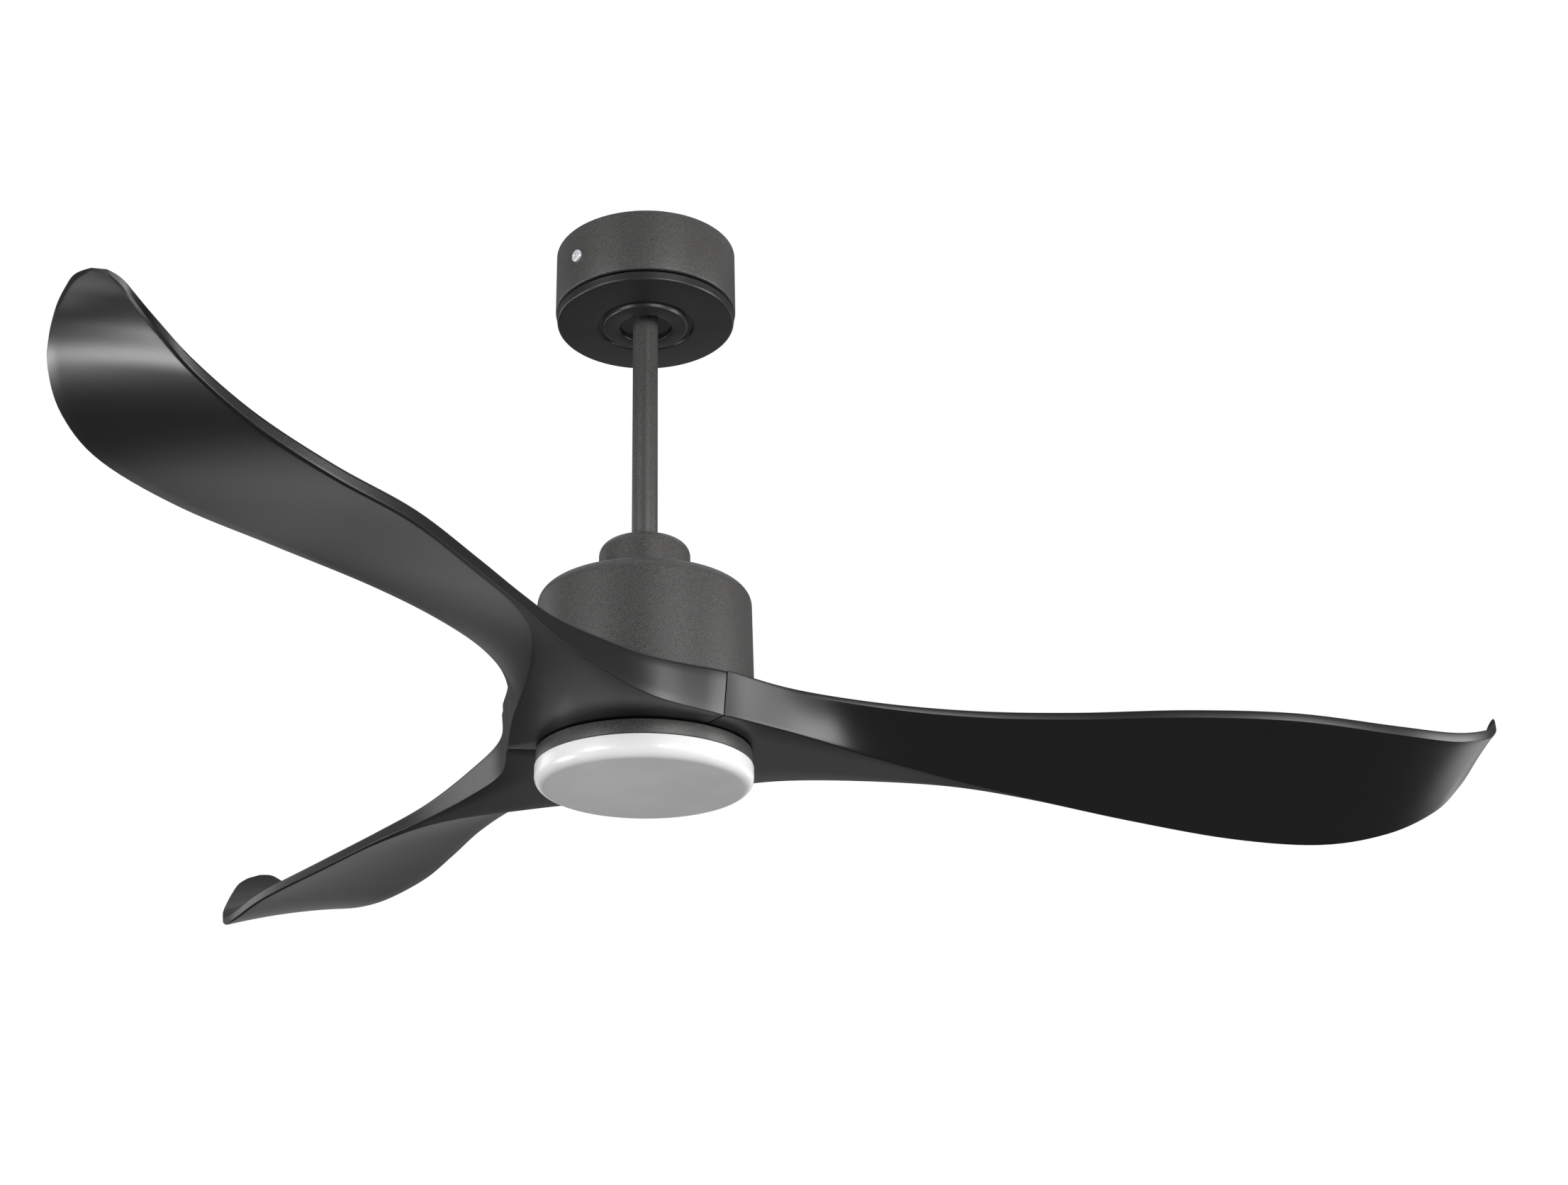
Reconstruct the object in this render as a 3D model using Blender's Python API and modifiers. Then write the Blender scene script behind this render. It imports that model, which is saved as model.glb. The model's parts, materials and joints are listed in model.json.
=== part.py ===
"""Ceiling fan with a round light: three swept blades on an external-rotor motor, hung from a ball joint.

Metres, +Z up. The origin is on the ceiling face, on the fan's axis, so everything hangs below z = 0.
Heights of the motor, blades and light are counted from the blades' flat bottom, at HUB_Z.
"""

import math

import bmesh
import bpy
from mathutils import Matrix, Vector

# ---- driving dimensions -------------------------------------------------------------------------
HUB_Z = -0.4275  # flat bottom of the blade roots
GAP = 0.0003  # clearance between pieces that touch

CANOPY_R = 0.0730
CANOPY_SHELL_H = 0.0537
CANOPY_H = 0.0633
CANOPY_BOSS_H = 0.0657
CANOPY_HOLE_R = 0.0211
SIDE_SCREW_TURN = math.radians(225)  # azimuth of the visible side screw; the other is opposite
SIDE_SCREW_Z = -0.0278

BALL_Z = -0.0270
BALL_R = 0.0170
ROD_R = 0.0101
ROD_BORE_R = 0.0079
ROD_TOP_Z = -0.0120

COVER_R = 0.0353
COVER_TOP = 0.1685
HOUSING_TOP_R = 0.0820
HOUSING_FOOT_R = 0.0828
HOUSING_TOP = 0.1265
HOUSING_FOOT = 0.0362
SHAFT_R = 0.0085

ROOT_FLOOR = 0.0062  # thickness of the roots' floor under the rotor
ROOT_POCKET_R = 0.0780
ROOT_HOLE_R = 0.0300
BLADE_SCREW_R = 0.0620
BLADE_SCREW_TURN = math.radians(28)

RING_R = 0.0805
RING_TOP = -0.0010
RING_FOOT = -0.0115
DIFFUSER_R = 0.0813
DIFFUSER_FOOT = -0.0285
LUG_TURN = math.radians(20)  # bayonet turn between locked and free

BLADES = 3

# Blade outline, stations from the axis outwards. Each row holds the leading rim's top edge,
# the crease under the leading side, the crease under the trailing side and the trailing wall's
# top edge, as x, y, z with z counted from HUB_Z.
STATIONS = (
    # leading top            leading crease            trailing crease          trailing top
    ((0.02, -0.0346, 0.0325), (0.02, -0.0346, 0), (0.02, 0.0346, 0), (0.02, 0.0346, 0.0325)),
    ((0.0533, -0.0923, 0.0325), (0.051, -0.0883, 0), (0.051, 0.0883, 0), (0.0533, 0.0923, 0.0325)),
    ((0.107, -0.057, 0.0326), (0.107, -0.052, 0), (0.107, 0.061, 0), (0.108, 0.0625, 0.029)),
    ((0.175, -0.037, 0.0312), (0.17, -0.005, -0.0005), (0.17, 0.0535, -0.0005), (0.171, 0.0545, 0.0215)),
    ((0.245, -0.032, 0.029), (0.24, 0.039, -0.002), (0.24, 0.055, -0.0025), (0.241, 0.056, 0.0105)),
    ((0.315, -0.0385, 0.0275), (0.305, 0.063, -0.008), (0.3045, 0.0665, -0.0075), (0.305, 0.0675, 0.0005)),
    ((0.395, -0.055, 0.026), (0.385, 0.08, -0.018), (0.385, 0.0825, -0.0175), (0.385, 0.0835, -0.0105)),
    ((0.47, -0.0655, 0.022), (0.47, 0.0935, -0.027), (0.47, 0.0955, -0.0265), (0.47, 0.0962, -0.0195)),
    ((0.545, -0.0595, 0.0165), (0.54, 0.0905, -0.031), (0.54, 0.0925, -0.0305), (0.54, 0.0932, -0.024)),
    ((0.595, -0.044, 0.018), (0.59, 0.079, -0.024), (0.5905, 0.0808, -0.023), (0.591, 0.0812, -0.0165)),
    ((0.628, -0.026, 0.027), (0.624, 0.067, -0.009), (0.625, 0.0683, -0.0078), (0.626, 0.0685, -0.0015)),
    ((0.644, -0.01, 0.038), (0.641, 0.056, 0.008), (0.642, 0.057, 0.0095), (0.6435, 0.057, 0.0155)),
    ((0.6515, 0.004, 0.047), (0.651, 0.046, 0.024), (0.652, 0.0465, 0.026), (0.6535, 0.0465, 0.031)),
    ((0.6545, 0.014, 0.052), (0.6555, 0.038, 0.037), (0.6563, 0.0383, 0.0385), (0.657, 0.0383, 0.042)),
)
RIM_HEIGHTS = (
    *(0.0010, 0.0010, 0.0025, 0.0045, 0.0055, 0.0060, 0.0064),
    *(0.0068, 0.0072, 0.0074, 0.0074, 0.0072, 0.0060, 0.0035),
)
CAMBERS = (0, 0, 0, 0.0010, 0.0020, 0.0030, 0.0035, 0.0040, 0.0040, 0.0030, 0.0020, 0.0010, 0, 0)
BLADE_TURN = math.radians(6.6)  # azimuth of the first blade's own x axis at rest

# ---- materials ----------------------------------------------------------------------------------
LOOKS = {
    "textured_paint": ((0.070, 0.068, 0.066), 0.45, 0.55),
    "trim_paint": ((0.035, 0.035, 0.036), 0.45, 0.30),
    "blade_plastic": ((0.022, 0.022, 0.023), 0.42, 0.0),
    "opal_plastic": ((0.86, 0.86, 0.86), 0.25, 0.0),
    "zinc_steel": ((0.62, 0.62, 0.62), 0.30, 1.0),
    "bright_steel": ((0.70, 0.70, 0.70), 0.18, 1.0),
    "cast_aluminium": ((0.55, 0.56, 0.57), 0.45, 1.0),
    "lamination_steel": ((0.30, 0.31, 0.33), 0.50, 0.9),
    "copper_wire": ((0.70, 0.32, 0.14), 0.35, 0.9),
    "magnet": ((0.10, 0.10, 0.11), 0.60, 0.3),
    "nylon": ((0.80, 0.79, 0.74), 0.50, 0.0),
    "black_plastic": ((0.03, 0.03, 0.03), 0.50, 0.0),
    "white_board": ((0.85, 0.86, 0.84), 0.45, 0.0),
    "cable_sheath": ((0.06, 0.06, 0.06), 0.60, 0.0),
}


def look(name):
    material = bpy.data.materials.get(name) or bpy.data.materials.new(name)
    colour, roughness, metallic = LOOKS[name]
    material.use_nodes = True
    shader = material.node_tree.nodes["Principled BSDF"]
    shader.inputs["Base Color"].default_value = (*colour, 1)
    shader.inputs["Roughness"].default_value = roughness
    shader.inputs["Metallic"].default_value = metallic
    return material


# ---- scene and helpers --------------------------------------------------------------------------
for old in list(bpy.data.objects):
    bpy.data.objects.remove(old)
parts = bpy.data.collections.new("ceiling_fan")
cutters = bpy.data.collections.new("cutters")
cutters.hide_render = True
for collection in (parts, cutters):
    bpy.context.scene.collection.children.link(collection)


def add(name, mesh, material):
    """A node of the fan, shaded smooth except at sharp edges."""
    obj = bpy.data.objects.new(name, mesh)
    parts.objects.link(obj)
    mesh.materials.append(look(material))
    if mesh.polygons:
        mesh.shade_smooth()
        mesh.set_sharp_from_angle(angle=math.radians(35))
    return obj


def add_cutter(name, mesh):
    obj = bpy.data.objects.new(name, mesh)
    cutters.objects.link(obj)
    obj.hide_render = True
    obj.display_type = "WIRE"
    return obj


def mesh_from(bm, name):
    mesh = bpy.data.meshes.new(name)
    bm.to_mesh(mesh)
    bm.free()
    return mesh


def arc(r, z, radius, start, end, steps):
    """Points on a round corner in the (radius, height) plane, with angles in degrees from +r."""
    turns = [math.radians(start + (end - start) * i / steps) for i in range(steps + 1)]
    return [(r + radius * math.cos(t), z + radius * math.sin(t)) for t in turns]


def profile_mesh(name, profile):
    """The (r, z) outline as edges in the XZ plane, closed unless both its ends are on the axis."""
    bm = bmesh.new()
    ring = [bm.verts.new((r, 0, z)) for r, z in profile]
    if profile[0][0] > 0 or profile[-1][0] > 0:
        ring.append(ring[0])
    for a, b in zip(ring, ring[1:]):
        bm.edges.new((a, b))
    return mesh_from(bm, name)


def turn_round(obj, steps):
    """A full turn about the object's Z axis."""
    modifier = obj.modifiers.new("turn", "SCREW")
    modifier.steps = steps
    modifier.render_steps = steps
    modifier.use_merge_vertices = True
    modifier.merge_threshold = 1e-5
    modifier.use_normal_calculate = False
    return obj


def turned(name, profile, material, steps=48):
    """A turned piece. Its profile runs down the outer side and back up the inner one."""
    return turn_round(add(name, profile_mesh(name, profile), material), steps)


def turned_cutter(name, profile, steps=16):
    return turn_round(add_cutter(name, profile_mesh(name, profile)), steps)


def tube_profile(inner, outer, top, foot):
    return [(outer, top), (outer, foot), (inner, foot), (inner, top)]


def cylinder_mesh(name, radius, start, end, steps=16):
    """A closed cylinder from one point to another."""
    start, end = Vector(start), Vector(end)
    bm = bmesh.new()
    bmesh.ops.create_cone(
        bm, cap_ends=True, segments=steps, radius1=radius, radius2=radius, depth=(end - start).length
    )
    turn = Vector((0, 0, 1)).rotation_difference(end - start).to_matrix().to_4x4()
    bmesh.ops.transform(bm, verts=bm.verts[:], matrix=Matrix.Translation((start + end) / 2) @ turn)
    return mesh_from(bm, name)


def box_mesh(name, low, high, turn=0.0):
    """A box between two corners, turned about Z."""
    low, high = Vector(low), Vector(high)
    bm = bmesh.new()
    size = high - low
    middle = Matrix.Translation((low + high) / 2)
    bmesh.ops.create_cube(bm, size=1, matrix=middle @ Matrix.Diagonal((*size, 1)))
    bmesh.ops.rotate(bm, verts=bm.verts[:], matrix=Matrix.Rotation(turn, 3, "Z"))
    return mesh_from(bm, name)


def boolean(obj, tool, operation="DIFFERENCE"):
    modifier = obj.modifiers.new(operation.lower() + "_" + tool.name, "BOOLEAN")
    modifier.object = tool
    modifier.operation = operation
    modifier.solver = "EXACT"
    return obj


def drill(obj, radius, start, end, steps=12):
    return boolean(obj, add_cutter(obj.name + "_drill", cylinder_mesh("drill", radius, start, end, steps)))


def bevel(obj, width, segments=1):
    modifier = obj.modifiers.new("bevel", "BEVEL")
    modifier.width = width
    modifier.segments = segments
    modifier.limit_method = "ANGLE"
    return obj


def polar(radius, turn, z=0.0):
    return Vector((radius * math.cos(turn), radius * math.sin(turn), z))


def outline_plate(name, outlines, low, high, material):
    """A flat plate from closed outlines: the first is its edge and the others are holes."""
    curve = bpy.data.curves.new(name, "CURVE")
    curve.dimensions = "2D"
    curve.fill_mode = "BOTH"
    curve.extrude = (high - low) / 2
    for outline in outlines:
        spline = curve.splines.new("POLY")
        spline.points.add(len(outline) - 1)
        for point, (x, y) in zip(spline.points, outline):
            point.co = (x, y, 0, 1)
        spline.use_cyclic_u = True
    obj = bpy.data.objects.new(name, curve)
    obj.location.z = (low + high) / 2
    parts.objects.link(obj)
    curve.materials.append(look(material))
    return obj


def circle(radius, steps, centre=(0.0, 0.0)):
    turns = [math.tau * i / steps for i in range(steps)]
    return [(centre[0] + radius * math.cos(t), centre[1] + radius * math.sin(t)) for t in turns]


def wire(name, points, radius, material):
    """A cable or wire along a smooth run of points."""
    curve = bpy.data.curves.new(name, "CURVE")
    curve.dimensions = "3D"
    curve.bevel_depth = radius
    curve.bevel_resolution = 2
    curve.use_fill_caps = True
    spline = curve.splines.new("POLY")
    smooth = spline_points(points, 3)
    spline.points.add(len(smooth) - 1)
    for point, place in zip(spline.points, smooth):
        point.co = (*place, 1)
    obj = bpy.data.objects.new(name, curve)
    parts.objects.link(obj)
    curve.materials.append(look(material))
    return obj


def spline_points(points, steps):
    """Catmull-Rom points through the given ones."""
    knots = [Vector(p) for p in points]
    knots = [2 * knots[0] - knots[1], *knots, 2 * knots[-1] - knots[-2]]
    smooth = []
    for a, b, c, d in zip(knots, knots[1:], knots[2:], knots[3:]):
        for i in range(steps):
            t = i / steps
            bend = (2 * a - 5 * b + 4 * c - d) * t**2
            smooth.append(0.5 * (2 * b + (c - a) * t + bend + (3 * b - a - 3 * c + d) * t**3))
    return [*smooth, knots[-2]]


def screw(name, place, direction, head_r, head_h, shank_r, length, material="zinc_steel", steps=10):
    """A pan-head screw with a round socket, its head's underside at the place."""
    profile = [
        (0, length),
        (shank_r * 0.6, length),
        (shank_r, length - shank_r * 0.6),
        (shank_r, 0),
        (head_r, 0),
        (head_r, -head_h * 0.45),
        (head_r * 0.62, -head_h),
        (head_r * 0.42, -head_h),
        (0, -head_h * 0.45),
    ]
    obj = turned(name, profile, material, steps)
    obj.location = place
    obj.rotation_mode = "QUATERNION"
    obj.rotation_quaternion = Vector((0, 0, 1)).rotation_difference(Vector(direction))
    return obj


# ---- held by the ceiling ------------------------------------------------------------------------
BRACKET_TURN = SIDE_SCREW_TURN  # the bracket's long side runs between the two side screws
PLATE_T = 0.0020
SEAT_R = BALL_R + 0.0022  # spherical seat in the bracket
TAB_X = 0.0670


def placed(mesh, turn):
    """The mesh turned about Z in place."""
    mesh.transform(Matrix.Rotation(turn, 4, "Z"))
    return mesh


def make_bracket():
    half_w = 0.0150
    bracket = add(
        "hanger_bracket",
        placed(box_mesh("plate", (-TAB_X, -half_w, -PLATE_T), (TAB_X, half_w, 0)), BRACKET_TURN),
        "zinc_steel",
    )
    low = BALL_Z - SEAT_R * math.cos(math.radians(58))
    high = BALL_Z - SEAT_R * math.cos(math.radians(84))
    seat = [(0.0235, high), (0.0235, low), *arc(0, BALL_Z, SEAT_R, -32, -6, 4)]
    boolean(bracket, turned_cutter("bracket_seat", seat, 20), "UNION")
    for side in (-1, 1):
        leg = box_mesh("leg", (side * 0.0215, -0.0080, -0.0350), (side * 0.0245, 0.0080, -0.0010))
        boolean(bracket, add_cutter(f"bracket_leg_{side}", placed(leg, BRACKET_TURN)), "UNION")
        tab_low = (side * (TAB_X - 0.0024), -0.0120, SIDE_SCREW_Z - 0.0070)
        tab = box_mesh("tab", tab_low, (side * (TAB_X - 0.0004), 0.0120, -0.0010))
        boolean(bracket, add_cutter(f"bracket_tab_{side}", placed(tab, BRACKET_TURN)), "UNION")
        out = polar(1, BRACKET_TURN + (0 if side > 0 else math.pi))
        height = Vector((0, 0, SIDE_SCREW_Z))
        drill(bracket, 0.0022, out * (TAB_X - 0.006) + height, out * (TAB_X + 0.004) + height)
        hole = out * 0.0340
        drill(bracket, 0.0027, hole + Vector((0, 0, -0.01)), hole + Vector((0, 0, 0.01)))
    earth = polar(0.0540, BRACKET_TURN)
    drill(bracket, 0.0018, earth + Vector((0, 0, -0.01)), earth + Vector((0, 0, 0.01)))


def make_ceiling_screws():
    for i, turn in enumerate((BRACKET_TURN, BRACKET_TURN + math.pi), 1):
        place = polar(0.0340, turn, -PLATE_T - GAP)
        screw(f"ceiling_screw_{i}", place, (0, 0, 1), 0.0045, 0.0030, 0.0024, PLATE_T)
    place = polar(0.0540, BRACKET_TURN, -PLATE_T - GAP)
    screw("earth_screw", place, (0, 0, 1), 0.0034, 0.0022, 0.0015, PLATE_T, "bright_steel")


def make_canopy():
    wall = 0.0013
    foot = -CANOPY_SHELL_H
    r = CANOPY_R
    shell = turned(
        "canopy_shell",
        [
            (r - 0.0008, -GAP),
            (r, -GAP - 0.0008),
            (r, foot + 0.0012),
            (r - 0.0012, foot),
            (r - wall - 0.0012, foot),
            (r - wall - 0.0012, foot + 0.0020),
            (r - wall, foot + 0.0035),
            (r - wall, -GAP),
        ],
        "textured_paint",
        40,
    )
    for i, turn in enumerate((BRACKET_TURN, BRACKET_TURN + math.pi), 1):
        drill(shell, 0.0024, polar(r - 0.008, turn, SIDE_SCREW_Z), polar(r + 0.006, turn, SIDE_SCREW_Z))
        out = polar(1, turn)
        place = out * (r + GAP) + Vector((0, 0, SIDE_SCREW_Z))
        screw(f"canopy_screw_{i}", place, -out, 0.0050, 0.0024, 0.0019, 0.0100, "bright_steel", 16)


def make_canopy_trim():
    """The lower cover: a rounded edge, a flat disc, a groove and a raised lip round the rod's hole."""
    top = -CANOPY_SHELL_H - 0.0022
    disc = -CANOPY_H
    boss = -CANOPY_BOSS_H
    r = CANOPY_R - 0.0008
    turned(
        "canopy_trim",
        [
            (r - 0.0004, top),
            (r, top - 0.0006),
            *arc(r - 0.0028, disc + 0.0022, 0.0022, 0, -90, 2),
            (0.0391, disc),
            (0.0386, disc + 0.0012),
            (0.0350, disc + 0.0012),
            (0.0342, boss + 0.0010),
            (0.0332, boss),
            (CANOPY_HOLE_R + 0.0010, boss),
            (CANOPY_HOLE_R, boss + 0.0010),
            (CANOPY_HOLE_R, disc + 0.0030),
            (r - 0.0090, disc + 0.0030),
            (r - 0.0062, top - 0.0006),
            (r - 0.0062, top + 0.0046),
            (r - 0.0045, top + 0.0046),
            (r - 0.0045, top),
        ],
        "trim_paint",
        40,
    )


def make_ceiling_electrics():
    """The supply terminals and the remote-control receiver, beside the bracket."""
    block = add(
        "terminal_block",
        placed(box_mesh("block", (-0.0580, -0.0080, -0.0150), (-0.0400, 0.0080, -PLATE_T - GAP)), BRACKET_TURN),
        "nylon",
    )
    bevel(block, 0.0008)
    for y in (-0.0050, 0, 0.0050):
        spot = Matrix.Rotation(BRACKET_TURN, 3, "Z") @ Vector((-0.0490, y, 0))
        drill(block, 0.0014, spot + Vector((0, 0, -0.0170)), spot + Vector((0, 0, -0.0090)), 12)
    receiver = add(
        "remote_receiver",
        placed(box_mesh("case", (-0.0280, 0.0310, -0.0270), (0.0280, 0.0550, -0.0030)), BRACKET_TURN),
        "black_plastic",
    )
    bevel(receiver, 0.0015, 2)
    lead = [
        (-0.0500, 0.0084, -0.0080),
        (-0.0500, 0.0180, -0.0085),
        (-0.0480, 0.0300, -0.0110),
        (-0.0420, 0.0400, -0.0130),
        (-0.0340, 0.0430, -0.0140),
        (-0.0284, 0.0430, -0.0140),
    ]
    turn = Matrix.Rotation(BRACKET_TURN, 3, "Z")
    wire("supply_lead", [turn @ Vector(p) for p in lead], 0.0018, "cable_sheath")


# ---- the ball joint -----------------------------------------------------------------------------
def make_socket_liner():
    """A moulded ring between the ball and the bracket's seat, spherical on both sides."""
    outer_r = SEAT_R - GAP
    inner_r = BALL_R + GAP
    profile = [*arc(0, BALL_Z, outer_r, -4, -32, 4), *arc(0, BALL_Z, inner_r, -32, -4, 4)]
    turned("ball_socket_liner", profile, "nylon", 20)


# ---- hanging, not turning -----------------------------------------------------------------------
YOKE_PIN_Z = HUB_Z + HOUSING_TOP + 0.0205


def make_ball():
    bore = ROD_R + GAP
    reach = math.degrees(math.acos(bore / BALL_R))
    ball = turned(
        "hanger_ball",
        [*arc(0, BALL_Z, BALL_R, reach, -reach, 8), (bore, BALL_Z)],
        "black_plastic",
        20,
    )
    drill(ball, 0.0033, (0, -0.02, BALL_Z), (0, 0.02, BALL_Z))
    drill(ball, 0.0028, (0.005, 0, BALL_Z), (0.02, 0, BALL_Z))
    pin_mesh = cylinder_mesh("pin", 0.0030, (0, -0.0145, BALL_Z), (0, 0.0145, BALL_Z), 20)
    pin = add("ball_cross_pin", pin_mesh, "zinc_steel")
    bevel(pin, 0.0006)
    screw_mesh = cylinder_mesh("set_screw", 0.0025, (bore, 0, BALL_Z), (0.0160, 0, BALL_Z))
    set_screw = add("ball_set_screw", screw_mesh, "zinc_steel")
    bevel(set_screw, 0.0004)


def make_downrod():
    foot = HUB_Z + HOUSING_TOP + 0.0078
    rod = turned("downrod", tube_profile(ROD_BORE_R, ROD_R, ROD_TOP_Z, foot), "textured_paint", 24)
    drill(rod, 0.0033, (0, -0.02, BALL_Z), (0, 0.02, BALL_Z))
    drill(rod, 0.0033, (-0.02, 0, YOKE_PIN_Z), (0.02, 0, YOKE_PIN_Z))


def make_yoke():
    flange_top = HUB_Z + HOUSING_TOP + 0.0045
    flange_foot = HUB_Z + HOUSING_TOP + GAP
    bore = ROD_R + GAP
    yoke = turned(
        "rod_yoke",
        [
            (0.0155, YOKE_PIN_Z + 0.0110),
            (0.0155, flange_top),
            (0.0240, flange_top),
            (0.0240, flange_foot),
            (SHAFT_R + GAP, flange_foot),
            (SHAFT_R + GAP, HUB_Z + HOUSING_TOP + 0.0073),
            (bore, HUB_Z + HOUSING_TOP + 0.0073),
            (bore, YOKE_PIN_Z + 0.0110),
        ],
        "cast_aluminium",
        24,
    )
    drill(yoke, 0.0033, (-0.02, 0, YOKE_PIN_Z), (0.02, 0, YOKE_PIN_Z))
    drill(yoke, 0.0028, (0, -0.02, YOKE_PIN_Z), (0, 0.02, YOKE_PIN_Z))
    for i, side in enumerate((-1, 1), 1):
        set_screw = add(
            f"yoke_set_screw_{i}",
            cylinder_mesh("set_screw", 0.0025, (0, side * bore, YOKE_PIN_Z), (0, side * 0.0185, YOKE_PIN_Z)),
            "zinc_steel",
        )
        bevel(set_screw, 0.0004)
    return yoke


def make_yoke_pin():
    """A headed pin along X with a groove for its clip."""
    head, groove, end = -0.0175, 0.0175, 0.0205
    profile = [
        (0, end),
        (0.0024, end),
        (0.0030, end - 0.0006),
        (0.0030, groove + 0.0014),
        (0.0022, groove + 0.0014),
        (0.0022, groove),
        (0.0030, groove),
        (0.0030, head),
        (0.0048, head),
        (0.0048, head - 0.0018),
        (0, head - 0.0018),
    ]
    pin = turned("yoke_pin", profile, "zinc_steel", 20)
    pin.rotation_euler = (0, math.pi / 2, 0)
    pin.location = (0, 0, YOKE_PIN_Z)
    turns = [math.radians(a) for a in range(40, 321, 20)]
    outline = [(0.0055 * math.cos(t), 0.0055 * math.sin(t)) for t in turns]
    outline += [(0.0025 * math.cos(t), 0.0025 * math.sin(t)) for t in reversed(turns)]
    clip = outline_plate("yoke_pin_clip", [outline], groove + GAP, groove + 0.0014 - GAP, "bright_steel")
    clip.rotation_euler = (0, math.pi / 2, 0)
    clip.location = (groove + 0.0007, 0, YOKE_PIN_Z)


def make_coupling_cover():
    top = HUB_Z + COVER_TOP
    foot = HUB_Z + HOUSING_TOP + GAP
    wall = 0.0015
    corner = 0.0100
    bore = ROD_R + 0.0005
    turned(
        "coupling_cover",
        [
            *arc(COVER_R - corner, top - corner, corner, 90, 0, 4),
            (COVER_R, foot),
            (COVER_R - wall, foot),
            *arc(COVER_R - corner, top - corner, corner - wall, 0, 90, 2),
            (bore, top - wall),
            (bore, top),
        ],
        "textured_paint",
        32,
    )


HOUSING_SCREW_R = 0.0195


def screw_turns():
    return [math.radians(90 + 120 * i) for i in range(3)]


def make_housing():
    top = HUB_Z + HOUSING_TOP
    foot = HUB_Z + HOUSING_FOOT
    wall = 0.0016
    corner = 0.0108
    housing = turned(
        "motor_housing",
        [
            *arc(HOUSING_TOP_R - corner, top - corner, corner, 90, 0, 5),
            (HOUSING_FOOT_R, foot),
            (HOUSING_FOOT_R - wall, foot),
            *arc(HOUSING_TOP_R - corner, top - corner, corner - wall, 0, 90, 3),
            (0.0100, top - wall),
            (0.0100, top),
        ],
        "textured_paint",
        40,
    )
    plate = turned(
        "stator_top_plate",
        tube_profile(SHAFT_R + GAP, 0.0250, top - wall - GAP, top - wall - 0.0060),
        "cast_aluminium",
        24,
    )
    yoke = make_yoke()
    for i, turn in enumerate(screw_turns(), 1):
        place = polar(HOUSING_SCREW_R, turn, HUB_Z + HOUSING_TOP + 0.0045 + GAP)
        for piece in (housing, plate, yoke):
            drill(piece, 0.0021, place + Vector((0, 0, 0.004)), place - Vector((0, 0, 0.020)), 12)
        screw(f"housing_screw_{i}", place, (0, 0, -1), 0.0036, 0.0024, 0.0018, 0.0110)


def make_stator():
    turned(
        "motor_shaft",
        tube_profile(0.0055, SHAFT_R, HUB_Z + HOUSING_TOP + 0.0069, HUB_Z - 0.0100),
        "bright_steel",
        24,
    )
    teeth = 12
    pitch = math.tau / teeth
    outline = []
    for i in range(teeth):
        middle = pitch * i
        for radius, half in ((0.0270, 0.115), (0.0520, 0.055), (0.0535, 0.215), (0.0572, 0.215)):
            outline.append(polar(radius, middle - half)[:2])
        outline.append(polar(0.0575, middle)[:2])
        for radius, half in ((0.0572, 0.215), (0.0535, 0.215), (0.0520, 0.055), (0.0270, 0.115)):
            outline.append(polar(radius, middle + half)[:2])
    bore = circle(SHAFT_R + GAP, 24)
    outline_plate("stator_core", [outline, bore], HUB_Z + 0.0500, HUB_Z + 0.0710, "lamination_steel")
    for name, low, high in (("lower_winding", 0.0430, 0.0497), ("upper_winding", 0.0713, 0.0780)):
        low, high = HUB_Z + low, HUB_Z + high
        middle, half = (low + high) / 2, (high - low) / 2
        turned(
            name,
            [*arc(0.0490, middle, half, 90, -90, 3), *arc(0.0300, middle, half, -90, -270, 3)],
            "copper_wire",
            20,
        )


BEARING_OUT_R = 0.0175
BEARING_H = 0.0100


def make_bearing(name, low):
    """Inner race, caged balls and outer race, with a gap between them."""
    high = low + BEARING_H
    middle = (low + high) / 2
    for race, inner, outer in (("inner", SHAFT_R + GAP, 0.0112), ("outer", 0.0150, BEARING_OUT_R)):
        profile = tube_profile(inner, outer, high - GAP, low + GAP)
        turned(f"{name}_{race}_race", profile, "bright_steel", 24)
    cage = turned(
        name + "_ball_cage",
        tube_profile(0.0125, 0.0137, middle + 0.0020, middle - 0.0020),
        "bright_steel",
        20,
    )
    balls = 6
    for i in range(balls):
        bm = bmesh.new()
        place = polar(0.0131, math.tau * (i + 0.5) / balls, middle)
        bmesh.ops.create_icosphere(bm, subdivisions=1, radius=0.0018, matrix=Matrix.Translation(place))
        boolean(cage, add_cutter(f"{name}_ball_{i}", mesh_from(bm, "ball")), "UNION")


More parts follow.
